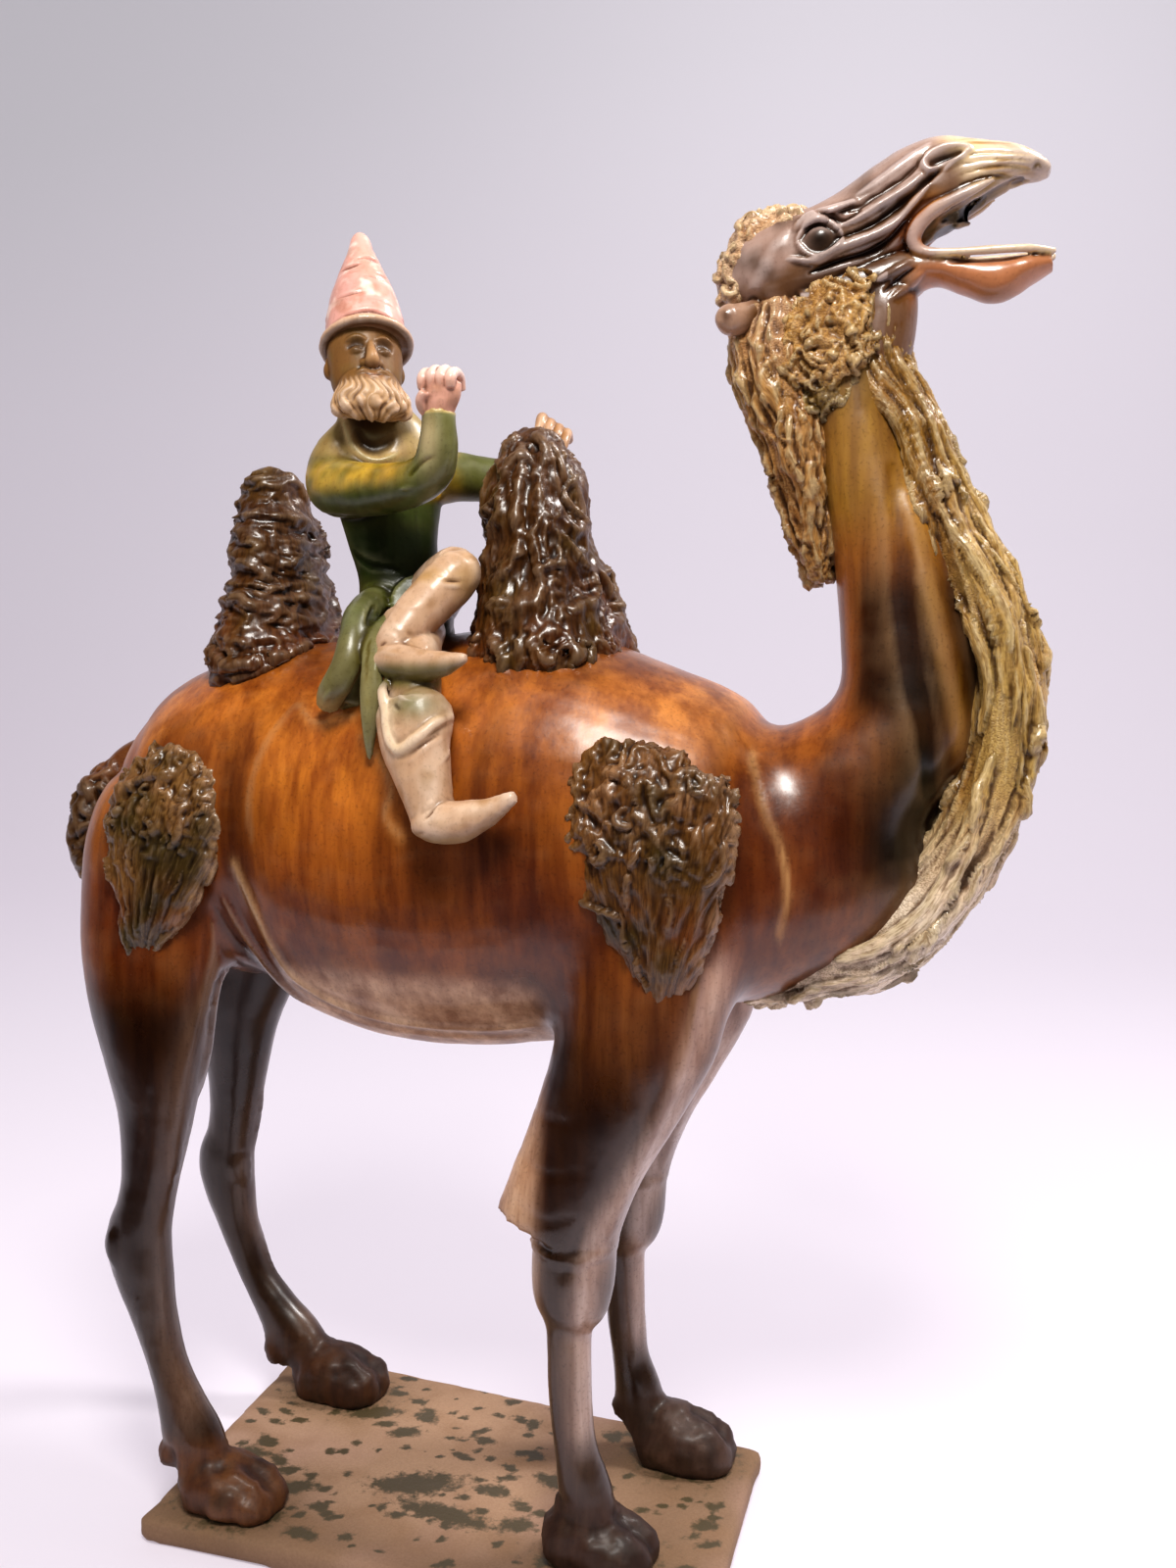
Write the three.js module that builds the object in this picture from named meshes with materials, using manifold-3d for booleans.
// Camel and rider, a glazed earthenware tomb figure, modelled in millimetres.
//
// +X runs from the tail to the head, +Y from the rider's near side to the far
// side, and +Z up. The origin is the middle of the base slab's underside.
//
// The work is three pieces: the bare clay slab, the camel fired on to it, and
// the rider, who was modelled apart and seated between the humps.

import * as THREE from 'three';
import { LoftGeometry } from 'three/addons/geometries/LoftGeometry.js';
import { mergeVertices } from 'three/addons/utils/BufferGeometryUtils.js';
import Module from 'manifold-3d';

const wasm = await Module();
wasm.setup();

// Driving dimensions.
const SLAB_THICK = 16;
const SLAB_CORNERS = [[-172, -103], [189, -107], [184, 89], [-186, 127]];
const SLAB_CORNER_RADIUS = 12;
const SEAM = 0.35;                  // clear gap between two pieces that touch
const GROUND = SLAB_THICK + SEAM;   // the soles of the feet

const NEAR = -1;                    // the side that faces the viewer
const FAR = 1;

const EYE = { x: 231, z: 781, out: 25, radius: 7.5 };
const EAR = { x: 181, z: 741, out: 24, radius: 8.5 };

const HIND_FOOT_OUT = 74;           // middle of the hind feet from the middle plane
const FORE_FOOT_OUT = 60;
const HIND_FOOT_X = -124;
const NEAR_FORE_FOOT_X = 114;
const FAR_FORE_FOOT_X = 137;
const REAR_HEM = [-124, 35, 55];     // middle along X, half length, half width
const FRONT_HEM = [63, 41, 56];
const FOOT = { half: 32, wide: 24, high: 17 };
const FAR_HOCK_BACK = 28;           // how far the far hock stands behind the near one

const FACING = THREE.MathUtils.degToRad(-60);      // where the rider's chest points
const HEAD_FACING = THREE.MathUtils.degToRad(-54);
const HEAD_BACK = THREE.MathUtils.degToRad(15);    // the rider's head tips back
const HEAD = new THREE.Vector3(-51, -14, 729);
const HAT = { base: 16, high: 76, brim: 29, crown: 24.5 };

// Small helpers.
const vec = (x, y, z) => new THREE.Vector3(x, y, z);
const smooth = (value) => THREE.MathUtils.smoothstep(value, 0, 1);
const level = () => 0;
const ALONG_X = vec(1, 0, 0);
const ALONG_Y = vec(0, 1, 0);

// Makes a closed geometry into a solid that can be joined and cut.
function solid(geometry) {
  const bare = new THREE.BufferGeometry();
  bare.setAttribute('position', geometry.getAttribute('position'));
  bare.setIndex(geometry.getIndex());
  const merged = mergeVertices(bare, 1e-3);
  const vertProperties = new Float32Array(merged.attributes.position.array);
  const triVerts = new Uint32Array(merged.index.array);
  return new wasm.Manifold(new wasm.Mesh({ numProp: 3, vertProperties, triVerts }));
}

// Makes a solid back into a geometry.
function skin(body) {
  const mesh = body.getMesh();
  const geometry = new THREE.BufferGeometry();
  geometry.setAttribute('position', new THREE.BufferAttribute(mesh.vertProperties, 3));
  geometry.setIndex(new THREE.BufferAttribute(mesh.triVerts, 1));
  return geometry;
}

function join(bodies) {
  return bodies.reduce((whole, body) => whole.add(body));
}

// A form lofted through stations. Each station is the middle of one cross
// section, x, y and z, with its half width along `across` and its half depth.
// `relief` lifts the skin at a share of the length and an angle round it, and
// `grow` fattens the whole form.
function form(stations, { rings, sides, across = ALONG_Y, relief = level, grow = 0 }) {
  const middles = stations.map(([x, y, z]) => vec(x, y, z));
  const halves = stations.map((station) => vec(station[3], station[4], 0));
  const path = new THREE.CatmullRomCurve3(middles, false, 'catmullrom', 0.5);
  const girth = new THREE.CatmullRomCurve3(halves, false, 'catmullrom', 0.5);
  const sections = [];
  for (let ring = 0; ring <= rings; ring += 1) {
    const share = ring / rings;
    const middle = path.getPoint(share);
    const forward = path.getTangent(share);
    const wide = across.clone().addScaledVector(forward, -across.dot(forward)).normalize();
    const deep = forward.clone().cross(wide);
    const half = girth.getPoint(share);
    const section = [];
    for (let side = 0; side < sides; side += 1) {
      const angle = (side / sides) * Math.PI * 2;
      const lift = relief(share, angle) + grow;
      const point = middle.clone();
      point.addScaledVector(wide, Math.cos(angle) * Math.max(half.x + lift, 0.6));
      point.addScaledVector(deep, Math.sin(angle) * Math.max(half.y + lift, 0.6));
      section.push(point);
    }
    sections.push(section);
  }
  return solid(new LoftGeometry(sections, { capStart: true, capEnd: true }));
}

function ball(x, y, z, radius, stretch = [1, 1, 1]) {
  const geometry = new THREE.IcosahedronGeometry(radius, 1);
  geometry.scale(...stretch);
  geometry.translate(x, y, z);
  return solid(geometry);
}

// Mirrors stations to the near or the far side.
function onSide(side, stations) {
  return stations.map(([x, y, z, wide, deep]) => [x, side * y, z, wide, deep]);
}

// Coarse hair: flame locks climb a hump, strands run down the mane, and curls
// stud a tuft. Each takes a height in millimetres.
const flames = (height) => (share, angle) => {
  const fade = smooth((share - 0.12) * 8);
  return height * fade * Math.sin(5 * angle + 16 * share) * Math.cos(12 * share + angle);
};
const strands = (height, count) => (share, angle) => height * Math.sin(count * angle + Math.sin(9 * share));
const curls = (height) => (share, angle) => height * Math.sin(4 * angle + 5 * share) * Math.cos(13 * share);

// The camel's trunk from the rump to the breast.
function trunk(grow) {
  const stations = [
    [-254, 0, 434, 22, 24],
    [-240, 0, 430, 42, 46],
    [-214, 0, 427, 60, 70],
    [-180, 0, 433, 77, 92],
    [-140, 0, 444, 88, 106],
    [-95, 0, 449, 95, 113],
    [-50, 0, 442, 99, 121],
    [0, 0, 440, 101, 125],
    [50, 0, 444, 101, 124],
    [100, 0, 442, 98, 117],
    [145, 0, 437, 92, 104],
    [185, 0, 430, 80, 90],
    [220, 0, 428, 66, 76],
    [255, 0, 430, 52, 60],
    [282, 0, 434, 36, 40],
    [296, 0, 437, 18, 20],
  ];
  return form(stations, { rings: 14, sides: 16, grow });
}

function neck() {
  const stations = [
    [196, 0, 400, 58, 56],
    [232, 0, 452, 56, 58],
    [265, 0, 488, 49, 46],
    [277, 0, 503, 46, 41.5],
    [283, 0, 524, 42, 41],
    [283, 0, 556, 38, 40.5],
    [274, 0, 600, 33, 35],
    [259, 0, 648, 30, 28],
    [247, 0, 694, 28, 26],
    [238, 0, 738, 27, 28],
    [230, 0, 764, 22, 24],
  ];
  return form(stations, { rings: 12, sides: 12 });
}

// The fringe of long hair from the throat to between the forelegs.
function mane() {
  const stations = [
    [274, 0, 722, 12, 11],
    [286, 0, 686, 20, 17],
    [299, 0, 650, 25, 18.5],
    [316, 0, 606, 29, 20],
    [331, 0, 562, 32, 20],
    [335, 0, 518, 34, 20],
    [329, 0, 474, 36, 21],
    [312, 0, 436, 38, 22],
    [288, 0, 402, 38, 22],
    [262, 0, 378, 36, 22],
    [222, 0, 366, 32, 19],
    [188, 0, 352, 22, 12],
  ];
  return form(stations, { rings: 12, sides: 11, relief: strands(1.4, 5) });
}

// The lock of mane that hangs behind the neck from the nape.
function napeLobe() {
  const stations = [
    [206, 0, 752, 26, 25],
    [208, 0, 716, 31, 27],
    [215, 0, 680, 29, 23],
    [222, 0, 646, 25, 18],
    [227, 0, 614, 17, 13],
    [231, 0, 592, 6, 6],
  ];
  return form(stations, { rings: 6, sides: 10, relief: strands(1.4, 5) });
}

// The head, in two forms that part at the mouth.
function skull() {
  const stations = [
    [180, 0, 764, 17, 16],
    [192, 0, 769, 25, 28],
    [211, 0, 772, 28, 32],
    [233, 0, 778, 27, 29],
    [256, 0, 791, 23, 27],
    [280, 0, 806, 20, 27],
    [300, 0, 812, 20, 26],
    [318, 0, 816, 19, 17],
    [336, 0, 817, 17, 10],
    [348, 0, 814, 11, 6],
    [353, 0, 812, 5, 3],
  ];
  return form(stations, { rings: 10, sides: 10 });
}

function lowerJaw() {
  const stations = [
    [222, 0, 746, 24, 22],
    [250, 0, 755, 21, 19],
    [276, 0, 763, 18, 13],
    [294, 0, 764, 15, 8],
    [312, 0, 759, 14, 10],
    [326, 0, 756, 14, 12],
    [342, 0, 760, 14, 8],
    [355, 0, 763, 8, 4],
  ];
  return form(stations, { rings: 8, sides: 10 });
}

function throat() {
  const stations = [
    [255, 0, 690, 23, 22],
    [262, 0, 725, 22, 22],
    [266, 0, 752, 19, 20],
    [268, 0, 768, 12, 14],
  ];
  return form(stations, { rings: 3, sides: 10 });
}

// What sits on each side of the head: eye, brow, ear and ruff.
function headSide(side) {
  const eye = ball(EYE.x, side * EYE.out, EYE.z, EYE.radius, [1.1, 0.8, 1]);
  const brow = form(onSide(side, [
    [219, 22, 789, 3, 3],
    [228, 25, 794, 4.5, 3.5],
    [240, 23, 793, 4, 3.5],
    [254, 20, 799, 2.5, 2.5],
  ]), { rings: 3, sides: 6 });
  const ear = form(onSide(side, [
    [EAR.x + 16, EAR.out - 12, EAR.z + 6, 6, 6],
    [EAR.x + 3, EAR.out - 4, EAR.z, EAR.radius, EAR.radius],
    [EAR.x - 2, EAR.out + 2, EAR.z, EAR.radius * 0.9, EAR.radius * 0.9],
    [EAR.x - 3, EAR.out + 6, EAR.z, EAR.radius * 0.4, EAR.radius * 0.4],
  ]), { rings: 4, sides: 8, across: vec(0, 0, 1) });
  const ruff = form(onSide(side, [
    [262, 19, 762, 5, 3],
    [249, 22, 750, 16, 7],
    [240, 24, 734, 22, 9],
    [232, 24, 716, 20, 8],
    [226, 23, 698, 8, 4],
  ]), { rings: 5, sides: 10, across: ALONG_X, relief: curls(1.5) });
  return [eye, brow, ear, ruff];
}

// The curly crest on the crown of the head.
function crest() {
  const stations = [
    [178, 0, 754, 16, 9],
    [183, 0, 776, 21, 11],
    [197, 0, 790, 23, 14],
    [213, 0, 795, 20, 10],
    [224, 0, 797, 9, 5],
  ];
  return form(stations, { rings: 5, sides: 10, relief: curls(1.8) });
}

function rearHump(grow) {
  const stations = [
    [-124, 0, 510, 58, 40],
    [-124, 0, 550, 59, 40],
    [-124, 0, 580, 52, 33],
    [-124, 0, 608, 44, 28.5],
    [-126, 0, 636, 37, 24],
    [-127, 0, 658, 27, 20],
    [-128, 0, 671, 15, 13],
    [-128, 0, 676, 6, 6],
  ];
  return form(stations, { rings: 9, sides: 12, relief: flames(2.5), grow });
}

function frontHump(grow) {
  const stations = [
    [64, 0, 510, 60, 48],
    [64, 0, 550, 61, 48],
    [61, 0, 580, 54, 41],
    [57, 0, 610, 46, 34],
    [54, 0, 640, 39, 29.5],
    [54, 0, 666, 29, 25],
    [54, 0, 684, 18, 16],
    [54, 0, 691, 7, 7],
  ];
  return form(stations, { rings: 10, sides: 12, relief: flames(2.7), grow });
}

// The scalloped hem where a hump's hair stands proud of the smooth back: a
// closed ring that rides over the curve of the back.
function humpHem(middle, halfLength, halfWide, grow) {
  const turns = 14;
  const sides = 5;
  const sections = [];
  for (let step = 0; step <= turns; step += 1) {
    const turn = ((step % turns) / turns) * Math.PI * 2;
    const thick = 7.4 + 1.4 * Math.cos((step % 2) * Math.PI) + grow;
    const out = vec(Math.cos(turn), Math.sin(turn), 0);
    const middlePoint = vec(middle + out.x * halfLength, out.y * halfWide, 566 - 17 * out.y ** 2);
    const section = [];
    for (let side = 0; side < sides; side += 1) {
      const angle = (side / sides) * Math.PI * 2;
      const point = middlePoint.clone().addScaledVector(out, -Math.cos(angle) * thick);
      point.z += Math.sin(angle) * thick * 1.15;
      section.push(point);
    }
    sections.push(section);
  }
  return solid(new LoftGeometry(sections));
}

// A tuft of curls on the shoulder or the haunch: broad on top, drawn out to a
// tip below, and standing proud of the skin by a few millimetres.
function tuft(side, stations) {
  return form(onSide(side, stations), { rings: 6, sides: 10, across: ALONG_X, relief: curls(1.6) });
}

const SHOULDER_TUFT = [
  [166, 79, 500, 14, 5],
  [160, 84, 488, 38, 9],
  [159, 88, 468, 46, 11],
  [159, 90, 444, 46, 11],
  [158, 89, 418, 38, 11],
  [157, 85, 392, 26, 10],
  [155, 80, 364, 13, 8],
  [152, 76, 342, 4, 5],
];

const HAUNCH_TUFT = [
  [-148, 78, 496, 12, 5],
  [-150, 83, 482, 32, 9],
  [-152, 87, 460, 40, 11],
  [-156, 89, 434, 40, 11],
  [-163, 88, 406, 30, 11],
  [-172, 85, 380, 18, 10],
  [-178, 81, 358, 6, 6],
];

function tail() {
  const root = form([
    [-212, 0, 492, 14, 12],
    [-234, -7, 482, 13, 12],
    [-247, -14, 464, 12, 11],
    [-251, -19, 446, 12, 10],
  ], { rings: 3, sides: 8 });
  const hair = form([
    [-242, -13, 474, 12, 10],
    [-253, -18, 456, 16, 12],
    [-255, -21, 434, 16, 12],
    [-252, -22, 412, 13, 10],
    [-249, -21, 396, 5, 5],
  ], { rings: 5, sides: 8, relief: curls(1.6) });
  return [root, hair];
}

// A hind leg. The far one stands with its hock further back.
function hindLeg(side) {
  const back = side === FAR ? FAR_HOCK_BACK : 0;
  const stations = [
    [-178, 48, 440, 40, 62],
    [-181, 58, 395, 34, 56],
    [-178, 64, 350, 30, 47],
    [-177, 68, 305, 26, 36],
    [-176, 71, 262, 20, 25],
    [-179, 73, 226, 17.5, 19],
    [-183, 74, 203, 17, 18.5],
    [-188, 74, 183, 17, 21.5],
    [-186, 74, 163, 16, 20],
    [-178, 74, 132, 13.5, 14.5],
    [-168, 74, 100, 12.5, 12],
    [-159, 74, 76, 14, 15],
    [-152, 74, 58, 16, 19],
    [-143, 74, 42, 15, 18],
    [-136, 74, 28, 13, 15],
  ];
  const shifted = stations.map(([x, y, z, wide, deep]) => {
    const lean = smooth((400 - z) / 130) * smooth((z - 10) / 110);
    return [x - back * lean, side * y, z, wide, deep];
  });
  return form(shifted, { rings: 14, sides: 8 });
}

// A foreleg: the upper arm wears a sleeve of hair with a crisp hanging edge,
// the knee carries a rounded pad, and the cannon runs down to the fetlock.
function foreLeg(side) {
  const sleeve = form(onSide(side, [
    [150, 52, 420, 34, 56],
    [145, 56, 380, 33, 54],
    [137, 58, 340, 32, 49],
    [124, 60, 302, 29, 42],
    [108, 61, 266, 26, 37],
    [96, 62, 234, 25, 35],
    [90, 62, 216, 24, 35],
  ]), { rings: 6, sides: 10 });
  const shin = form(onSide(side, [
    [104, 61, 250, 20, 22],
    [101, 61, 222, 21, 23],
    [99, 61, 200, 23, 25],
    [98, 61, 181, 22, 24],
    [96, 61, 166, 17, 19],
    [96, 61, 150, 13.5, 14],
    [97, 61, 112, 12, 13],
    [100, 61, 84, 12, 12.5],
    [104, 61, 66, 14, 15],
    [108, 61, 50, 15, 16],
    [113, 61, 36, 14, 14],
  ]), { rings: 11, sides: 8 });
  return [sleeve, shin];
}

// A soft two-toed foot, flat underneath, with the ankle over its heel. The
// cleft between the toes opens towards the front.
function foot(x, y) {
  const { half, wide, high } = FOOT;
  const top = 1.5 * Math.PI;
  const cleft = (share, angle) => (
    -5.5 * smooth((share - 0.45) * 2.4) * Math.exp(-(((angle - top) / 0.35) ** 2))
  );
  return form([
    [x - half, y, GROUND + 9, wide * 0.4, high * 0.6],
    [x - half * 0.75, y, GROUND + 11, wide * 0.8, high * 1.1],
    [x - half * 0.2, y, GROUND + 12, wide * 0.97, high * 1.25],
    [x + half * 0.35, y, GROUND + 9, wide, high * 1.05],
    [x + half * 0.8, y, GROUND + 6, wide * 0.86, high * 0.75],
    [x + half * 1.05, y, GROUND + 4, wide * 0.5, high * 0.35],
  ], { rings: 6, sides: 12, relief: cleft });
}

// Everything below the soles is cut away, so that the feet stand flat.
function underGround() {
  const block = new THREE.BoxGeometry(900, 500, 200);
  block.translate(0, 0, GROUND - 100);
  return solid(block);
}

function camelBody() {
  const bodies = [trunk(0), neck(), mane(), napeLobe(), skull(), lowerJaw(), throat(), crest()];
  bodies.push(rearHump(0), frontHump(0), ...tail());
  bodies.push(humpHem(...REAR_HEM, 0), humpHem(...FRONT_HEM, 0));
  for (const side of [NEAR, FAR]) {
    bodies.push(...headSide(side));
    bodies.push(tuft(side, SHOULDER_TUFT), tuft(side, HAUNCH_TUFT));
    bodies.push(hindLeg(side), ...foreLeg(side));
    bodies.push(foot(HIND_FOOT_X, side * HIND_FOOT_OUT));
  }
  bodies.push(foot(NEAR_FORE_FOOT_X, NEAR * FORE_FOOT_OUT), foot(FAR_FORE_FOOT_X, FAR * FORE_FOOT_OUT));
  return join(bodies).subtract(underGround());
}

// The rider. `across` the chest is square to the way the chest faces.
const CHEST_ACROSS = vec(-Math.sin(FACING), Math.cos(FACING), 0);
const HEAD_FRONT = vec(Math.cos(HEAD_FACING), Math.sin(HEAD_FACING), 0);
const HEAD_ACROSS = vec(-HEAD_FRONT.y, HEAD_FRONT.x, 0);
const HEAD_UP = vec(0, 0, Math.cos(HEAD_BACK)).addScaledVector(HEAD_FRONT, -Math.sin(HEAD_BACK));
const HEAD_OUT = HEAD_ACROSS.clone().negate().cross(HEAD_UP).negate();

// A place on the rider's head: across it, out through the face, and up.
function onHead(across, out, up) {
  const place = HEAD.clone();
  place.addScaledVector(HEAD_ACROSS, across);
  place.addScaledVector(HEAD_OUT, out);
  place.addScaledVector(HEAD_UP, up);
  return place;
}

function headForm(stations, options) {
  const placed = stations.map(([out, up, wide, deep]) => {
    const middle = onHead(0, out, up);
    return [middle.x, middle.y, middle.z, wide, deep];
  });
  return form(placed, { across: HEAD_ACROSS, ...options });
}

function riderTorso() {
  return form([
    [-24, -8, 560, 28, 25],
    [-26, -8, 580, 25, 22],
    [-29, -8, 602, 21, 17],
    [-33, -8, 628, 25, 18],
    [-37, -8, 650, 32, 20],
    [-42, -8, 668, 34, 19],
    [-47, -9, 681, 28, 17],
    [-50, -10, 692, 18, 15],
    [-51, -12, 704, 16, 14],
  ], { rings: 7, sides: 10, across: CHEST_ACROSS });
}

// The head is a plain egg with a brow, a nose and a short wavy beard.
function riderHead() {
  const egg = headForm([
    [3, -27, 9, 8],
    [2, -22, 15, 15],
    [1, -12, 20, 20],
    [0, 2, 22, 22],
    [0, 16, 21, 21],
    [-1, 26, 17, 17],
  ], { rings: 5, sides: 10 });
  const nose = headForm([
    [20, 8, 3, 4],
    [23, 2, 3.4, 5],
    [25, -4, 5, 5.5],
    [22, -7, 4, 3],
  ], { rings: 3, sides: 6 });
  const brow = headForm([
    [18, 13, 13, 3],
    [19, 10.5, 14, 5],
    [18, 8, 11, 2.5],
  ], { rings: 3, sides: 6 });
  const beard = headForm([
    [8, -8, 17, 15],
    [9, -16, 18, 16],
    [9, -25, 18, 15],
    [9, -32, 15, 11],
    [9, -35, 10, 7],
  ], { rings: 3, sides: 12, relief: (share, angle) => 1.4 * share * Math.cos(6 * angle) });
  return [egg, nose, brow, beard];
}

// The tall felt hat, turned up in a rim and wrinkled in shallow coils.
function riderHat() {
  const { base, high, brim, crown } = HAT;
  const coils = (share) => 0.7 * Math.sin(share * Math.PI * 12) * smooth((share - 0.1) * 6);
  const cone = headForm([
    [-1, base, brim - 1.5, brim - 1.5],
    [-1, base + 3, brim, brim],
    [-1, base + 7, crown, crown],
    [-1, base + 20, 22.5, 22.5],
    [-1, base + 36, 17.5, 17.5],
    [-1, base + 52, 11.5, 11.5],
    [-1, base + 66, 7, 7],
    [-1, base + high, 3.5, 3.5],
  ], { rings: 9, sides: 10, relief: coils });
  return cone;
}

function nearArm() {
  const sleeve = form([
    [-70, -22, 662, 14, 14],
    [-64, -32, 656, 18, 17],
    [-44, -42, 649, 16, 16],
    [-16, -55, 645, 14, 14],
    [6, -64, 644, 13, 13],
    [18, -68, 650, 12.5, 12.5],
    [21, -70, 666, 12, 12],
    [21, -71, 682, 10, 10],
    [21, -71, 688, 9.5, 9.5],
  ], { rings: 7, sides: 7, across: vec(0.3, 0.3, 1) });
  const wrist = form([
    [21, -71, 680, 7.5, 7.5],
    [21, -71, 692, 8, 8],
  ], { rings: 1, sides: 6 });
  const palm = form([
    [21, -71, 688, 8, 8],
    [21, -72, 696, 12, 9.5],
    [21, -72, 706, 12, 9],
    [21, -71, 711, 8, 6],
  ], { rings: 3, sides: 7, across: ALONG_X });
  const fingers = [-8, -2.8, 2.8, 8].map((step) => (
    form([
      [21 + step, -77, 691, 2.2, 2.5],
      [21 + step, -82, 697, 3.1, 3.5],
      [21 + step, -81, 705, 3.1, 3.5],
      [21 + step, -74, 709, 2.4, 2.5],
    ], { rings: 2, sides: 5, across: ALONG_X })
  ));
  const thumb = form([
    [9, -73, 690, 3, 3],
    [9, -74, 697, 4.2, 4.2],
    [12, -75, 704, 3, 3],
  ], { rings: 2, sides: 6, across: ALONG_X });
  return [sleeve, wrist, palm, thumb, ...fingers];
}

function farArm() {
  const sleeve = form([
    [-14, 6, 664, 15, 15],
    [-2, 14, 665, 13, 13],
    [16, 26, 664, 12, 12],
    [34, 38, 666, 11, 11],
    [50, 40, 674, 10, 10],
    [59, 34, 686, 8.5, 8.5],
  ], { rings: 5, sides: 7, across: vec(0, 0, 1) });
  const palm = ball(62, 28, 690, 9.5, [1.1, 1.2, 0.85]);
  const fingers = [0, 1, 2, 3].map((step) => form([
    [58 + step * 5.2, 28, 694 - step * 1.5, 3.6, 3.6],
    [60 + step * 5.2, 17, 699 - step * 3.5, 3.8, 3.8],
    [61 + step * 5, 8, 696 - step * 4.5, 3.4, 3.4],
  ], { rings: 2, sides: 5, across: vec(1, 0, 0.3) }));
  return [sleeve, palm, ...fingers];
}

// The far leg is drawn up: its knee is raised and its boot crosses in front.
function crossedLeg() {
  const thigh = form([
    [-20, 4, 580, 20, 20],
    [-4, -16, 588, 18, 19],
    [12, -36, 598, 16, 16],
    [21, -48, 601, 14, 14],
  ], { rings: 3, sides: 8, across: vec(0, 0, 1) });
  const boot = form([
    [27, -47, 606, 9, 9],
    [24, -52, 599, 14, 15],
    [16, -62, 586, 15, 15.5],
    [6, -74, 571, 13.5, 13.5],
    [-1, -84, 557, 11.5, 12],
    [-2, -88, 546, 10, 10],
  ], { rings: 5, sides: 8, across: vec(1, 0.4, 0) });
  const shoe = form([
    [-7, -92, 545, 8, 7],
    [2, -94, 545, 10.5, 10.5],
    [18, -98, 543, 10, 10],
    [36, -102, 544, 7.5, 7],
    [51, -105, 547, 2.5, 2.5],
  ], { rings: 4, sides: 7, across: ALONG_Y });
  return [thigh, boot, shoe];
}

// The near leg hangs down the flank in a wide-topped boot.
function hangingLeg() {
  const thigh = form([
    [-22, -26, 576, 22, 22],
    [-8, -52, 566, 21, 20],
    [4, -74, 552, 18, 18],
    [12, -88, 534, 16, 17],
    [15, -97, 512, 14, 16],
  ], { rings: 4, sides: 7, across: vec(0, 1, 0.4) });
  const boot = form([
    [16, -97, 526, 17, 23],
    [18, -101, 514, 18.5, 24],
    [20, -105, 500, 17, 21],
    [25, -108, 484, 15, 17],
    [30, -110, 468, 13, 14],
    [34, -111, 456, 12, 13],
  ], { rings: 4, sides: 8, across: ALONG_Y });
  const shoe = form([
    [24, -112, 455, 8, 7],
    [33, -113, 456, 12, 11],
    [50, -115, 457, 12, 11.5],
    [68, -117, 463, 8.5, 7.5],
    [84, -119, 472, 3, 3],
  ], { rings: 4, sides: 7, across: ALONG_Y });
  return [thigh, boot, shoe];
}

// The skirt of the coat, gathered in folds that hang behind the near leg.
function coatSkirt() {
  const folds = [
    [[-38, -20, 592, 14, 12], [-46, -44, 574, 14, 12], [-46, -68, 552, 12, 12], [-40, -84, 532, 12, 9]],
    [[-30, -28, 594, 12, 12], [-28, -58, 572, 13, 12], [-24, -82, 546, 12, 12], [-22, -95, 516, 11, 9]],
    [[-18, -30, 592, 12, 12], [-12, -66, 570, 12, 12], [-10, -90, 540, 10, 11], [-8, -101, 500, 8, 7]],
  ];
  return folds.map((fold) => form(fold, { rings: 3, sides: 6, across: ALONG_X }));
}

function riderBody() {
  const bodies = [riderTorso(), ...riderHead(), riderHat(), ...nearArm(), ...farArm()];
  bodies.push(...crossedLeg(), ...hangingLeg(), ...coatSkirt());
  const seat = join([trunk(SEAM), rearHump(SEAM), frontHump(SEAM)]);
  const hems = join([humpHem(...REAR_HEM, SEAM), humpHem(...FRONT_HEM, SEAM)]);
  return join(bodies).subtract(seat).subtract(hems);
}

// The slab is a flat cake of clay with soft corners.
function slabGeometry() {
  const outline = new THREE.Shape();
  SLAB_CORNERS.forEach(([x, y], index) => {
    const before = new THREE.Vector2(...SLAB_CORNERS.at(index - 1));
    const after = new THREE.Vector2(...SLAB_CORNERS[(index + 1) % SLAB_CORNERS.length]);
    const corner = new THREE.Vector2(x, y);
    const enter = corner.clone().add(before.sub(corner).setLength(SLAB_CORNER_RADIUS));
    const leave = corner.clone().add(after.sub(corner).setLength(SLAB_CORNER_RADIUS));
    if (index === 0) outline.moveTo(enter.x, enter.y);
    else outline.lineTo(enter.x, enter.y);
    outline.quadraticCurveTo(x, y, leave.x, leave.y);
  });
  outline.closePath();
  const bevel = 2;
  return new THREE.ExtrudeGeometry(outline, {
    depth: SLAB_THICK - 2 * bevel,
    bevelThickness: bevel,
    bevelSize: bevel,
    bevelOffset: -bevel,
    bevelSegments: 1,
    curveSegments: 3,
  }).translate(0, 0, bevel);
}

// The finishes.
const bareClay = () => new THREE.MeshStandardMaterial({ color: 0xb79b8a, roughness: 0.85, metalness: 0 });
const amberGlaze = () => new THREE.MeshStandardMaterial({ color: 0x7a3a16, roughness: 0.25, metalness: 0 });
const greenGlaze = () => new THREE.MeshStandardMaterial({ color: 0x5f6b35, roughness: 0.3, metalness: 0 });

function piece(name, geometry, material) {
  const mesh = new THREE.Mesh(geometry, material);
  mesh.name = name;
  return mesh;
}

const figure = new THREE.Group();
figure.name = 'camel_and_rider';
figure.add(piece('base_slab', slabGeometry(), bareClay()));
figure.add(piece('camel', skin(camelBody()), amberGlaze()));
figure.add(piece('rider', skin(riderBody()), greenGlaze()));

export default figure;
